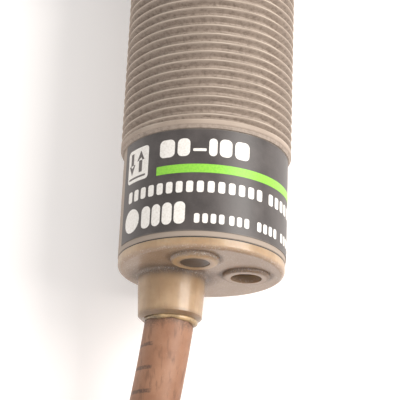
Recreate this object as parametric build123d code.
from build123d import *
import math
import os

# Diffuse photoelectric sensor in a threaded round housing, millimetres.
# Frame: origin in the middle of the sensing face, +Y out of the sensing face,
# +Z up, the sensor lying on the flats of its two nuts with its cable behind it.

# ---- Driving sizes -------------------------------------------------------
body_length = 65.0
thread_radius = 9.0
thread_pitch = 1.0
thread_depth = 0.613
crest_width = 0.125
root_width = 0.25
plain_length = 13.28
land_length = 0.82
front_chamfer = 0.5
shoulder_lip = 0.16
shoulder_ease = 0.06
shoulder_break = 0.10

tail_radius = 8.60
bore_radius = 7.30
lens_pocket_radius = 7.90
lens_pocket_depth = 2.50

label_thickness = 0.065
label_glue_gap = 0.005
label_length = 10.80
label_edge_margin = 0.02
label_from_angle = -74.0
label_sweep_angle = 330.0

cap_radius = 8.55
cap_rim_length = 1.03
cap_rim_fillet = 0.45
cap_floor_thickness = 3.4
cap_skirt_length = 1.6
cap_skirt_wall = 0.55
gasket_thickness = 0.10
gasket_inner_radius = 7.40

slip_clearance = 0.05
air_gap = 0.10
joined_depth = 0.20
cut_margin = 1.0

window_x, window_z = -1.0, 5.0
window_radius = 1.45
window_flange_radius = 1.55
window_flange_length = 0.6
window_recess = 0.05
lamp_radius = 1.25
collar_radius = 2.45
collar_round_share = 0.8
window_collar_height = 0.50
adjuster_x, adjuster_z = 4.6, 0.45
adjuster_hole_radius = 1.60
adjuster_collar_height = 0.35
adjuster_recess = 0.80
rotor_radius = 1.30
rotor_neck_radius = 1.00
rotor_head_length = 0.60
rotor_neck_length = 0.80
rotor_slot_width = 0.50
rotor_slot_depth = 0.45
rotor_slot_length = 2.00
spigot_radius = 0.90
spigot_length = 1.30
trimmer_size = 3.70
trimmer_thickness = 2.50
seal_section_radius = 0.27

cable_x, cable_z = -2.90, -1.65
cable_radius = 2.50
boss_base_radius = 3.52
boss_end_radius = 3.28
boss_straight = 4.35
boss_length = 4.70
boss_mouth_radius = 2.85
boss_foot_fillet = 0.35
clamp_wall = 0.60
clamp_length = 2.00
inner_cable_past_cap = 3.2
core_radius = 0.65
core_circle_radius = 0.76
glue_gap = 0.12
glue_wall = 0.32
glue_tip_wall = 0.06
glue_length = 0.50
core_straights = (2.6, 0.9, 0.9)
core_pad_offsets = (0.0, -1.9, 1.9)
core_pad_start = 3.2
core_pad_end = 6.0

board_thickness = 0.80
rear_board_radius = 7.20
main_board_top = -2.90
main_board_half_width = 6.05
main_board_length = 40.8
core_hole_margin = 0.6
pin_places = (1.4, 2.9, 4.4, 5.4)
pin_width = 0.5
pin_length = 3.0
shield_place = (1.6, 33.2)
shield_size = (8.0, 9.0)
shield_height = 3.4
shield_wall = 0.3
chip_height = 1.3
chip_lift = 0.15
chip_leg_size = (0.9, 0.4)
chip_leg_height = 0.45
chip_leg_reach = 0.35
capacitor_place = (2.6, 19.5)
capacitor_radius = 2.4
capacitor_height = 5.2
capacitor_rim = 0.3
resistor_places = [(-4.6, 17.5), (-3.2, 17.5), (-1.8, 17.5), (-4.6, 21.3), (-3.2, 21.3),
                   (-4.6, 33.5), (-4.6, 36.0)]
resistor_size, resistor_height = (0.8, 1.6), 0.5
ceramic_places = [(-1.6, 21.3), (1.4, 25.4), (3.6, 25.4), (-4.6, 38.5)]
ceramic_size, ceramic_height = (1.25, 2.0), 0.9

optics_length = 12.0
optics_radius = 7.25
eye_spacing = 6.80
tunnel_radius = 2.95
tunnel_depth = 7.0
lens_thickness = 2.00
lens_curve_radius = 3.60
lens_cap_radius = 2.80
gasket_overhang = 0.40
emitter_radius = 1.50
emitter_length = 4.60
leg_offset = 0.7
leg_half = 0.2
leg_reach = 0.9

nut_wall = 3.0
nut_thickness = 4.0
nut_clearance = 0.10
nut_face_inset = 0.3
nut_corner_angle = 30.0
nut_countersink = 0.45
washer_thickness = 0.60
washer_play = 0.15
washer_rim_width = 1.20
washer_tooth_reach = 1.15
washer_teeth = 16
tooth_twist = 14.0
tooth_width_share = 0.52
washer_space = 1.25
panel_gap = 6.0
front_nut_setback = 6.0

coil_turn_radii = (17.0, 22.0, 27.0)
coil_layers = 5
coil_x = 15.6
coil_gap_behind_boss = 14.3
tail_start_angle = 216.0
tail_sweep_angle = 102.0
tinned_length = 7.0
tinned_radius = 0.45

# ---- Places worked out from the driving sizes ----------------------------
rear_y = -body_length
land_front_y = rear_y + plain_length
land_rear_y = land_front_y - land_length
seam_y = rear_y + cap_rim_length
barrel_rear_y = seam_y + gasket_thickness
label_front_y = land_rear_y
label_rear_y = label_front_y - label_length
cap_floor_y = rear_y + cap_floor_thickness
skirt_front_y = cap_floor_y + cap_skirt_length
cap_plug_radius = bore_radius - slip_clearance
skirt_inner_radius = cap_plug_radius - cap_skirt_wall
boss_end_y = rear_y - boss_length
trimmer_rear_y = skirt_front_y + air_gap
rear_board_y = trimmer_rear_y + trimmer_thickness
main_board_rear_y = rear_board_y + board_thickness + air_gap
main_board_front_y = main_board_rear_y + main_board_length
lens_radius = lens_pocket_radius - slip_clearance
lens_rear_y = -lens_thickness
pocket_y = -lens_pocket_depth
optics_front_y = pocket_y - slip_clearance
optics_rear_y = optics_front_y - optics_length
eye_x = eye_spacing / 2
inner_cable_end_y = cap_floor_y + inner_cable_past_cap
nut_across_flats = 2 * (thread_radius + nut_wall)
floor_z = -nut_across_flats / 2
washer_inner_radius = thread_radius + washer_play
washer_ring_radius = washer_inner_radius + washer_rim_width
washer_outer_radius = washer_ring_radius + washer_tooth_reach
front_nut_y = -front_nut_setback - nut_thickness
front_washer_y = front_nut_y - washer_space / 2
rear_washer_y = front_nut_y - washer_space - panel_gap - washer_space / 2
rear_nut_y = rear_washer_y - washer_space / 2 - nut_thickness
coil_y = boss_end_y - coil_gap_behind_boss - (max(coil_turn_radii) + cable_radius)
coil_top = coil_layers * 2 * cable_radius
inner_turn = min(coil_turn_radii)


# ---- Shape helpers -------------------------------------------------------
def turned(outline, x=0.0, z=0.0):
    """A solid of revolution about a line along Y through x, z, from (radius, y) corners."""
    face = make_face(Polyline(*outline, close=True))
    return Pos(x, 0, z) * revolve(face, Axis.Y, 360)


def rod(radius, y_rear, y_front, x=0.0, z=0.0):
    """A round bar along Y."""
    length = y_front - y_rear
    return Pos(x, (y_rear + y_front) / 2, z) * Rot(90, 0, 0) * Cylinder(radius, length)


def ring(outer, inner, y_rear, y_front, x=0.0, z=0.0):
    """A plain round tube along Y."""
    return rod(outer, y_rear, y_front, x, z) - rod(inner, y_rear - cut_margin, y_front + cut_margin, x, z)


def block(x_range, y_range, z_range):
    """A box from its lowest and highest values."""
    (x0, x1), (y0, y1), (z0, z1) = x_range, y_range, z_range
    centre = Pos((x0 + x1) / 2, (y0 + y1) / 2, (z0 + z1) / 2)
    return centre * Box(x1 - x0, y1 - y0, z1 - z0)


def torus(major, minor, y, x=0.0, z=0.0):
    """A round ring about a line along Y."""
    return Pos(x, y, z) * Rot(90, 0, 0) * Torus(major, minor)


def cord_path(points, label):
    """Straight runs joined by tangent arcs, each as large as 0.45 of its shorter run allows."""
    places = [Vector(*point) for point in points]
    radii = []
    for before, here, after in zip(places, places[1:], places[2:]):
        turn = math.radians((here - before).get_angle(after - here))
        shorter = min((here - before).length, (after - here).length)
        radii.append(0.45 * shorter / math.tan(turn / 2))
    print(label, "arc radii", [round(radius, 1) for radius in radii])
    return FilletPolyline(*places, radius=radii)


def cord(points, radius, label):
    """A round cord along its route."""
    path = cord_path(points, label)
    section = Plane(origin=path @ 0, z_dir=path % 0) * Circle(radius)
    solid = sweep(section, path=path)
    print(label, "length", round(path.length, 1), "volume over section times length",
          round(solid.volume / (math.pi * radius**2 * path.length), 4))
    return solid


# ---- Housing -------------------------------------------------------------
def threaded_barrel():
    """Moulded tube: plain tail for the label, rounded land, then the thread as plain grooves."""
    shoulder_y = land_rear_y + land_length / 2
    outline = [
        (bore_radius, barrel_rear_y), (tail_radius, barrel_rear_y), (tail_radius, land_rear_y),
        (tail_radius + shoulder_lip, land_rear_y + shoulder_ease),
        (thread_radius - shoulder_break, shoulder_y - shoulder_ease),
        (thread_radius, shoulder_y + shoulder_ease),
    ]
    root_radius = thread_radius - thread_depth
    groove_half = (thread_pitch - crest_width) / 2
    for number in range(math.floor((-front_chamfer - land_front_y) / thread_pitch)):
        middle = land_front_y + (number + 0.5) * thread_pitch
        outline += [(thread_radius, middle - groove_half), (root_radius, middle - root_width / 2),
                    (root_radius, middle + root_width / 2), (thread_radius, middle + groove_half)]
    outline += [(thread_radius, -front_chamfer), (thread_radius - front_chamfer, 0),
                (lens_pocket_radius, 0), (lens_pocket_radius, pocket_y), (bore_radius, pocket_y)]
    return turned(outline)


def label_band():
    """Printed foil wrapped round the tail, its two ends apart at the side."""
    inner = tail_radius + label_glue_gap
    outer = inner + label_thickness
    start, stop = label_rear_y + label_edge_margin, label_front_y - label_edge_margin
    outline = [(inner, start), (outer, start), (outer, stop), (inner, stop)]
    face = make_face(Polyline(*outline, close=True))
    band = revolve(face, Axis.Y, label_sweep_angle)
    return Rot(0, label_from_angle - 90, 0) * band


def rear_cap():
    """Moulded cap: rim, plug and skirt, cable boss, and collars round the window and the adjuster."""
    rim = rod(cap_radius, rear_y, seam_y)
    rim = fillet(rim.edges().group_by(Axis.Y)[0], cap_rim_fillet)
    plug = rod(cap_plug_radius, seam_y, cap_floor_y)
    skirt = ring(cap_plug_radius, skirt_inner_radius, cap_floor_y, skirt_front_y)
    window_top = rear_y - window_collar_height
    window_collar = rod(collar_radius, window_top, rear_y + joined_depth, window_x, window_z)
    window_collar = fillet(window_collar.edges().group_by(Axis.Y)[0],
                           window_collar_height * collar_round_share)
    adjuster_top = rear_y - adjuster_collar_height
    adjuster_collar = rod(collar_radius, adjuster_top, rear_y + joined_depth, adjuster_x, adjuster_z)
    adjuster_collar = fillet(adjuster_collar.edges().group_by(Axis.Y)[0],
                             adjuster_collar_height * collar_round_share)
    boss = turned([
        (0, rear_y + joined_depth), (boss_base_radius, rear_y + joined_depth), (boss_base_radius, rear_y),
        (boss_end_radius, rear_y - boss_straight), (boss_mouth_radius, boss_end_y), (0, boss_end_y),
    ], cable_x, cable_z)
    cap = rim + plug + skirt + window_collar + adjuster_collar + boss
    foot = [edge for edge in cap.edges().filter_by(GeomType.CIRCLE)
            if abs(edge.radius - boss_base_radius) < 0.01 and abs(edge.center().Y - rear_y) < 0.01]
    cap = fillet(foot, boss_foot_fillet)
    through = cap_floor_y + cut_margin
    cap -= rod(window_radius + slip_clearance, window_top - cut_margin, through, window_x, window_z)
    cap -= rod(adjuster_hole_radius, adjuster_top - cut_margin, through, adjuster_x, adjuster_z)
    cap -= rod(cable_radius + slip_clearance, boss_end_y - cut_margin, through, cable_x, cable_z)
    return cap


def cap_gasket():
    """Thin flat seal in the seam between the cap's rim and the barrel."""
    return ring(cap_radius, gasket_inner_radius, seam_y, barrel_rear_y)


def indicator_window():
    """Smoked light pipe, flush with its collar and flanged inside the cap."""
    top = rear_y - window_collar_height + window_recess
    flange_front = cap_floor_y + window_flange_length
    pipe = rod(window_radius, top, flange_front, window_x, window_z)
    return pipe + rod(window_flange_radius, cap_floor_y, flange_front, window_x, window_z)


def indicator_led():
    """Domed lamp on the rear board, under the light pipe."""
    shoulder = cap_floor_y + window_flange_length + air_gap + lamp_radius
    dome = Pos(window_x, shoulder, window_z) * Sphere(lamp_radius)
    return rod(lamp_radius, shoulder, rear_board_y, window_x, window_z) + dome


def adjuster_rotor():
    """Slotted rotor: head in the cap's hole, a neck for its seal, a spigot in the trimmer."""
    face = rear_y + adjuster_recess - adjuster_collar_height
    neck_rear = face + rotor_head_length
    neck_front = neck_rear + rotor_neck_length
    shaft_front = trimmer_rear_y - air_gap / 2
    rotor = turned([
        (0, face), (rotor_radius, face), (rotor_radius, neck_rear), (rotor_neck_radius, neck_rear),
        (rotor_neck_radius, neck_front), (rotor_radius, neck_front), (rotor_radius, shaft_front),
        (spigot_radius, shaft_front), (spigot_radius, shaft_front + spigot_length),
        (0, shaft_front + spigot_length),
    ], adjuster_x, adjuster_z)
    half_length, half_width = rotor_slot_length / 2, rotor_slot_width / 2
    return rotor - block((adjuster_x - half_length, adjuster_x + half_length),
                         (face - cut_margin, face + rotor_slot_depth),
                         (adjuster_z - half_width, adjuster_z + half_width))


def adjuster_seal():
    """Small round seal in the rotor's neck."""
    middle = rear_y + adjuster_recess - adjuster_collar_height
    middle += rotor_head_length + rotor_neck_length / 2
    major = (rotor_neck_radius + adjuster_hole_radius) / 2
    return torus(major, seal_section_radius, middle, adjuster_x, adjuster_z)


# ---- Cable entry ---------------------------------------------------------
def core_places(x, z):
    """Where the three insulated cores lie round the cable's middle."""
    angles = [math.radians(90 + 120 * turn) for turn in range(3)]
    return [(x + core_circle_radius * math.cos(a), z + core_circle_radius * math.sin(a)) for a in angles]


def cable_inner_end():
    """The jacket's end inside the boss and the cap."""
    return rod(cable_radius, boss_end_y, inner_cable_end_y, cable_x, cable_z)


def cable_clamp():
    """Crimped ring that holds the jacket against the cap."""
    start = cap_floor_y + air_gap / 2
    inner = cable_radius + slip_clearance / 2
    return ring(inner + clamp_wall, inner, start, start + clamp_length, cable_x, cable_z)


def glue_bead():
    """Bead of adhesive round the jacket at the boss's mouth."""
    inner = cable_radius + glue_gap
    tip_y = boss_end_y - glue_length
    return turned([(inner, boss_end_y), (inner + glue_wall, boss_end_y),
                   (inner + glue_tip_wall, tip_y), (inner, tip_y)], cable_x, cable_z)


def inner_core(index):
    """One insulated core, from the jacket's end to its pad on the main board."""
    x, z = core_places(cable_x, cable_z)[index]
    pad_x = cable_x + core_pad_offsets[index]
    pad_z = main_board_top + core_radius + slip_clearance
    points = [(x, inner_cable_end_y, z), (x, inner_cable_end_y + core_straights[index], z),
              (pad_x, main_board_rear_y + core_pad_start, pad_z),
              (pad_x, main_board_rear_y + core_pad_end, pad_z)]
    return cord(points, core_radius, f"inner core {index + 1}")


# ---- Boards --------------------------------------------------------------
def rear_board():
    """Round board that carries the lamp and the trimmer, with a hole for the cores."""
    hole = core_circle_radius + core_radius + core_hole_margin
    front_y = rear_board_y + board_thickness
    disc = rod(rear_board_radius, rear_board_y, front_y)
    return disc - rod(hole, rear_board_y - cut_margin, front_y + cut_margin, cable_x, cable_z)


def trimmer_body():
    """Square variable resistor that the rotor turns."""
    half = trimmer_size / 2
    body = block((adjuster_x - half, adjuster_x + half), (trimmer_rear_y, rear_board_y),
                 (adjuster_z - half, adjuster_z + half))
    return body - rod(spigot_radius + slip_clearance, trimmer_rear_y - cut_margin,
                      trimmer_rear_y + spigot_length + air_gap, adjuster_x, adjuster_z)


def board_pins():
    """Four soldered pins between the two boards."""
    start, half = rear_board_y + board_thickness, pin_width / 2
    heights = (main_board_top, main_board_top + pin_width)
    return Compound(children=[block((x - half, x + half), (start, start + pin_length), heights)
                              for x in pin_places])


def main_board():
    """Long board along the axis."""
    return block((-main_board_half_width, main_board_half_width),
                 (main_board_rear_y, main_board_front_y),
                 (main_board_top - board_thickness, main_board_top))


def on_board(x, ahead, size, height, lift=0.0):
    """A part standing on the main board: x, distance ahead of the board's rear end, (x, y) size."""
    width, length = size
    y = main_board_rear_y + ahead
    return block((x - width / 2, x + width / 2), (y - length / 2, y + length / 2),
                 (main_board_top + lift, main_board_top + lift + height))


def shield_can():
    """Brass box over the receiver's amplifier."""
    inside = [side - 2 * shield_wall for side in shield_size]
    outer = on_board(*shield_place, shield_size, shield_height)
    return outer - on_board(*shield_place, inside, shield_height - shield_wall)


def legged_chip(x, ahead, size, legs, spacing):
    """A moulded chip with flat legs on both sides, each leg cut into the body's side."""
    width = size[0]
    body = on_board(x, ahead, size, chip_height, lift=chip_lift)
    for side in (-1, 1):
        for leg in range(legs):
            along = ahead + (leg - (legs - 1) / 2) * spacing
            out = x + side * (width / 2 + chip_leg_reach)
            body += on_board(out, along, chip_leg_size, chip_leg_height)
    return body


def filter_capacitor():
    """Standing electrolytic can."""
    x, ahead = capacitor_place
    middle = main_board_top + capacitor_height / 2
    can = Pos(x, main_board_rear_y + ahead, middle) * Cylinder(capacitor_radius, capacitor_height)
    return fillet(can.edges().group_by(Axis.Z)[-1], capacitor_rim)


def chip_row(places, size, height):
    """Small two-ended parts that share one node, as separate solids."""
    return Compound(children=[on_board(x, ahead, size, height) for x, ahead in places])


# ---- Optics --------------------------------------------------------------
def optics_holder():
    """Black block with a light tunnel for each eye and a wall between them."""
    holder = rod(optics_radius, optics_rear_y, optics_front_y)
    for side in (-1, 1):
        x = side * eye_x
        holder -= rod(tunnel_radius, optics_front_y - tunnel_depth, optics_front_y + cut_margin, x)
        holder -= rod(emitter_radius + slip_clearance, optics_rear_y - cut_margin, optics_front_y, x)
    return holder


def eye(side, domed):
    """Emitter or receiver: round body, domed or flat front, two legs bent down to the board."""
    x = side * eye_x
    front = optics_rear_y + emitter_length
    body = rod(emitter_radius, optics_rear_y, front, x)
    if domed:
        body += Pos(x, front, 0) * Sphere(emitter_radius)
    bend_y = optics_rear_y - leg_reach
    for leg in (-leg_offset, leg_offset):
        across = (x + leg - leg_half, x + leg + leg_half)
        body += block(across, (bend_y, optics_rear_y + air_gap), (-leg_half, leg_half))
        body += block(across, (bend_y, bend_y + 2 * leg_half), (main_board_top, leg_half))
    return body


def front_lens():
    """Flat outside, a convex lens inside over each eye."""
    plate = rod(lens_radius, lens_rear_y, 0)
    sag = math.sqrt(lens_curve_radius**2 - lens_cap_radius**2)
    behind = block((-lens_radius, lens_radius), (lens_rear_y - lens_curve_radius, lens_rear_y + 0.1),
                   (-lens_radius, lens_radius))
    for side in (-1, 1):
        plate += Pos(side * eye_x, lens_rear_y + sag, 0) * Sphere(lens_curve_radius) & behind
    return plate


def lens_gasket():
    """Flat seal between the lens and the barrel's step."""
    return ring(lens_radius, bore_radius - gasket_overhang, pocket_y, lens_rear_y - slip_clearance)


# ---- Mounting hardware ---------------------------------------------------
def hex_nut(y_rear):
    """Hexagon nut that clears the thread's crests, with chamfered corners and countersunk ends."""
    y_front = y_rear + nut_thickness
    corner_radius = nut_across_flats / math.sqrt(3)
    hexagon = RegularPolygon(corner_radius, 6, rotation=0)
    prism = extrude(Plane(origin=(0, y_front, 0), x_dir=(1, 0, 0), z_dir=(0, -1, 0)) * hexagon,
                    nut_thickness)
    face_radius = nut_across_flats / 2 - nut_face_inset
    drop = (corner_radius - face_radius) * math.tan(math.radians(nut_corner_angle))
    chamfered = turned([
        (0, y_rear), (face_radius, y_rear), (corner_radius, y_rear + drop),
        (corner_radius + cut_margin, y_rear + drop), (corner_radius + cut_margin, y_front - drop),
        (corner_radius, y_front - drop), (face_radius, y_front), (0, y_front),
    ])
    bore = thread_radius + nut_clearance
    mouth = bore + nut_countersink
    hole = turned([
        (0, y_rear - cut_margin), (mouth + cut_margin, y_rear - cut_margin), (mouth, y_rear),
        (bore, y_rear + nut_countersink), (bore, y_front - nut_countersink), (mouth, y_front),
        (mouth + cut_margin, y_front + cut_margin), (0, y_front + cut_margin),
    ])
    return (prism & chamfered) - hole


def toothed_washer(y_middle):
    """Flat ring with outside teeth, each twisted about its own radius."""
    washer = ring(washer_ring_radius, washer_inner_radius, y_middle - washer_thickness / 2,
                  y_middle + washer_thickness / 2)
    reach = washer_outer_radius - washer_ring_radius
    width = 2 * math.pi * washer_outer_radius / washer_teeth * tooth_width_share
    tooth = Pos(washer_ring_radius + (reach - joined_depth) / 2, y_middle, 0)
    tooth = tooth * Rot(tooth_twist, 0, 0) * Box(reach + joined_depth, washer_thickness, width)
    for number in range(washer_teeth):
        washer += Rot(0, 360 / washer_teeth * number, 0) * tooth
    return washer


# ---- Free cable ----------------------------------------------------------
lead_points = [
    (cable_x + 0.07, boss_end_y + 0.6, cable_z + 0.03),
    (-3.45, boss_end_y - 5.3, cable_z - 0.25),
    (-4.85, boss_end_y - 13.3, cable_z - 1.95),
    (-7.9, boss_end_y - 20.3, cable_z - 6.15),
    (coil_x - max(coil_turn_radii) + 0.8, boss_end_y - 27.3, floor_z + cable_radius),
    (coil_x - max(coil_turn_radii), boss_end_y - 35.3, floor_z + cable_radius),
    (coil_x - max(coil_turn_radii), coil_y, floor_z + cable_radius),
]


def around_coil(radius, angle, height):
    """A point round the coil's middle, its height counted from the floor."""
    turn = math.radians(angle)
    return (coil_x + radius * math.cos(turn), coil_y + radius * math.sin(turn), floor_z + height)


def cable_coil():
    """Outer shape of the coiled length: a ring of full layers, its rims as round as a turn."""
    inner = min(coil_turn_radii) - cable_radius
    outer = max(coil_turn_radii) + cable_radius
    outline = [(inner, 0), (outer, 0), (outer, coil_top), (inner, coil_top)]
    face = Plane.XZ * make_face(Polyline(*outline, close=True))
    solid = revolve(face, Axis.Z, 360)
    rims = solid.edges().filter_by(GeomType.CIRCLE)
    return Pos(coil_x, coil_y, floor_z) * fillet(rims, 0.6 * cable_radius)


tail_points = [
    around_coil(inner_turn, tail_start_angle, coil_top - cable_radius),
    around_coil(inner_turn + 0.6, tail_start_angle + 22, coil_top + 0.9),
    around_coil(inner_turn + 2.5, tail_start_angle + 48, coil_top + cable_radius),
    around_coil(inner_turn + 4.5, tail_start_angle + 76, coil_top + cable_radius),
    around_coil(inner_turn + 5.2, tail_start_angle + tail_sweep_angle, coil_top + cable_radius),
]


def core_route(index):
    """One stripped core: from the jacket's end face down onto the coil, fanning out a little."""
    last, before = Vector(*tail_points[-1]), Vector(*tail_points[-2])
    along = (last - before).normalized()
    side = Vector(0, 0, 1).cross(along)
    across, up = core_places(0, 0)[index]
    start = last + side * across + Vector(0, 0, up)
    lie = coil_top + core_radius
    radius = inner_turn + (4.8, 7.2, 2.6)[index]
    lift = (1.1, 0.0, 0.0)[index]
    first_angle = tail_start_angle + tail_sweep_angle
    return [
        tuple(start),
        tuple(start + along * 4.5 + side * (0.35 * across) + Vector(0, 0, -0.4 + 0.15 * up)),
        around_coil(radius, first_angle + 30, lie + lift),
        around_coil(radius - 0.2, first_angle + 60, lie),
        around_coil(radius + (0.5, 1.0, -0.4)[index], first_angle + 92, lie),
        around_coil(radius + (-0.2, 1.6, -1.2)[index], first_angle + 124, lie),
    ]


def tinned_end(index):
    """The bare soldered strand at a core's end."""
    points = core_route(index)
    last, before = Vector(*points[-1]), Vector(*points[-2])
    along = (last - before).normalized()
    return Plane(origin=last, z_dir=along) * extrude(Circle(tinned_radius), tinned_length)


# ---- All the nodes -------------------------------------------------------
def every_part():
    """Each sub-part by its node's name."""
    parts = {
        "threaded_barrel": threaded_barrel(),
        "label_band": label_band(),
        "rear_cap": rear_cap(),
        "cap_gasket": cap_gasket(),
        "indicator_window": indicator_window(),
        "indicator_led": indicator_led(),
        "adjuster_rotor": adjuster_rotor(),
        "adjuster_seal": adjuster_seal(),
        "trimmer_body": trimmer_body(),
        "rear_board": rear_board(),
        "board_pins": board_pins(),
        "main_board": main_board(),
        "shield_can": shield_can(),
        "signal_chip": legged_chip(-3.0, 25.6, (3.9, 4.9), 4, 1.27),
        "voltage_regulator": legged_chip(-2.9, 12.8, (2.6, 3.0), 3, 0.95),
        "output_transistor": legged_chip(2.8, 11.6, (3.4, 4.4), 2, 2.2),
        "filter_capacitor": filter_capacitor(),
        "chip_resistors": chip_row(resistor_places, resistor_size, resistor_height),
        "chip_capacitors": chip_row(ceramic_places, ceramic_size, ceramic_height),
        "optics_holder": optics_holder(),
        "emitter_led": eye(-1, True),
        "receiver_diode": eye(1, False),
        "front_lens": front_lens(),
        "lens_gasket": lens_gasket(),
        "cable_inner_end": cable_inner_end(),
        "cable_clamp": cable_clamp(),
        "glue_bead": glue_bead(),
        "front_nut": hex_nut(front_nut_y),
        "rear_nut": hex_nut(rear_nut_y),
        "front_washer": toothed_washer(front_washer_y),
        "rear_washer": toothed_washer(rear_washer_y),
    }
    coil = cable_coil()
    parts["cable_coil"] = coil
    behind_boss = block((-50, 50), (boss_end_y - 100, boss_end_y), (-50, 50))
    parts["cable_lead"] = (cord(lead_points, cable_radius, "cable lead") & behind_boss) - coil
    above_coil = block((-50, 100), (boss_end_y - 100, boss_end_y), (floor_z + coil_top, 50))
    tail = cord(tail_points, cable_radius, "cable tail") & above_coil
    parts["cable_tail"] = tail
    for index, colour in enumerate(("brown", "blue", "black")):
        parts[f"inner_core_{colour}"] = inner_core(index)
        parts[f"tail_core_{colour}"] = cord(core_route(index), core_radius, f"{colour} core") - tail
        parts[f"tinned_end_{colour}"] = tinned_end(index)
    return parts


os.makedirs("parts", exist_ok=True)
for name, part in every_part().items():
    export_step(part, f"parts/{name}.step")
